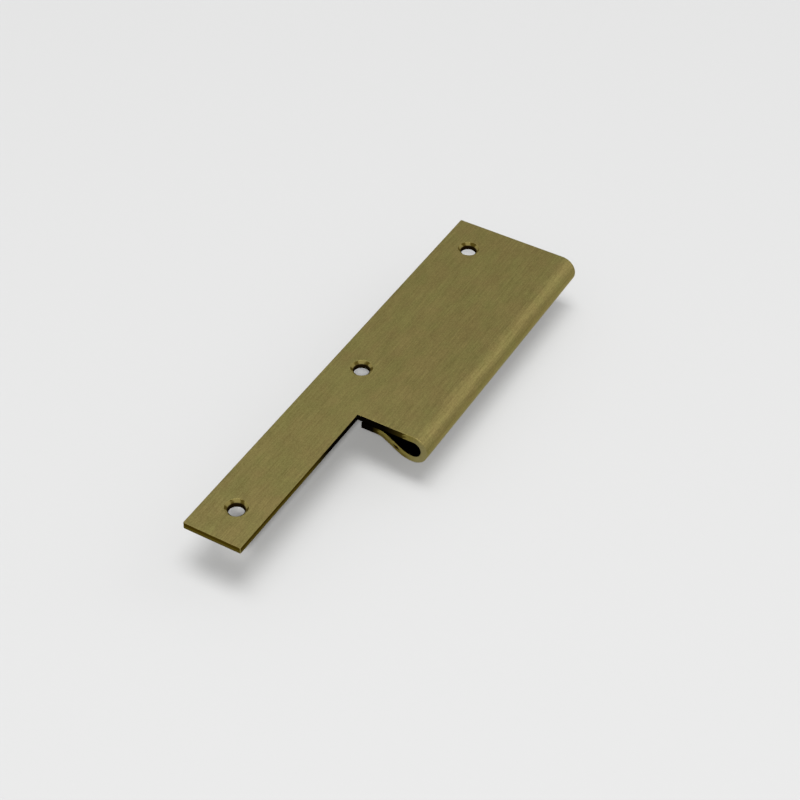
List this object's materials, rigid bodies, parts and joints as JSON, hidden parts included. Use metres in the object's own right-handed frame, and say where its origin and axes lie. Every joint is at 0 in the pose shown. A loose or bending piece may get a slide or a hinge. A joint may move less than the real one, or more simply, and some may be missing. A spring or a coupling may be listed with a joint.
{
  "type": "cabinet handle",
  "caption": "Folded sheet-metal cabinet edge handle: a flat strip with countersunk screw holes, and beyond a notch a wider plate whose edge is rolled under into a teardrop hem to pull on.",
  "frame": {"origin": "on the mounting face, the strip's underside, at the axis of the middle screw hole", "axes": "+Y along the strip towards the full-width end, +X across the plate towards the rolled hem, +Z out of the countersunk face, towards the screw heads"},
  "size_m": [0.0393, 0.15, 0.009],
  "materials": {
    "brushed_brass": "fine brushed along the length, dull olive-brown brass"
  },
  "bodies": {
    "root": {"handle": "brushed_brass"}
  },
  "joints": []
}
